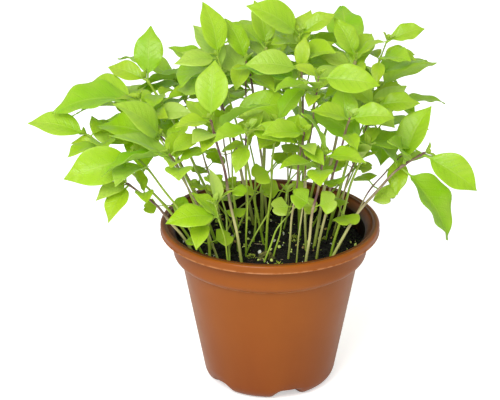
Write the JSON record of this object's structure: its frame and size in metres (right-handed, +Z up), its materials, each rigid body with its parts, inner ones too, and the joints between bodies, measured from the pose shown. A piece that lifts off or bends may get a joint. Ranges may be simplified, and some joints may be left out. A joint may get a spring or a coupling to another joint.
{
  "type": "potted basil plant",
  "caption": "Round tapered plastic nursery pot with a rolled lip, filled with potting soil and a dense clump of young basil seedlings.",
  "frame": {"origin": "middle of the pot's flat base, on the surface that it stands on", "axes": "+Z up along the pot's axis, -Y to the front as pictured, +X to the right"},
  "size_m": [0.222, 0.1672, 0.2029],
  "materials": {
    "pot": "satin brown injection-moulded polypropylene",
    "soil": "dark peat compost with pale grit",
    "basil": "thin soft yellow-green leaves, pale green to purple stems"
  },
  "bodies": {
    "root": {"pot": "pot", "soil": "soil", "seedling_01": "basil", "seedling_02": "basil", "seedling_03": "basil", "seedling_04": "basil", "seedling_05": "basil", "seedling_06": "basil", "seedling_07": "basil", "seedling_08": "basil", "seedling_09": "basil", "seedling_10": "basil", "seedling_11": "basil", "seedling_12": "basil", "seedling_13": "basil", "seedling_14": "basil", "seedling_15": "basil", "seedling_16": "basil", "seedling_17": "basil", "seedling_18": "basil", "seedling_19": "basil", "seedling_20": "basil", "seedling_21": "basil", "seedling_22": "basil", "seedling_23": "basil", "seedling_24": "basil", "seedling_25": "basil", "seedling_26": "basil", "seedling_27": "basil", "seedling_28": "basil", "seedling_29": "basil", "seedling_30": "basil", "seedling_31": "basil", "seedling_32": "basil", "seedling_33": "basil", "seedling_34": "basil", "seedling_35": "basil", "seedling_36": "basil", "seedling_37": "basil", "seedling_38": "basil", "seedling_39": "basil", "seedling_40": "basil"}
  },
  "joints": []
}
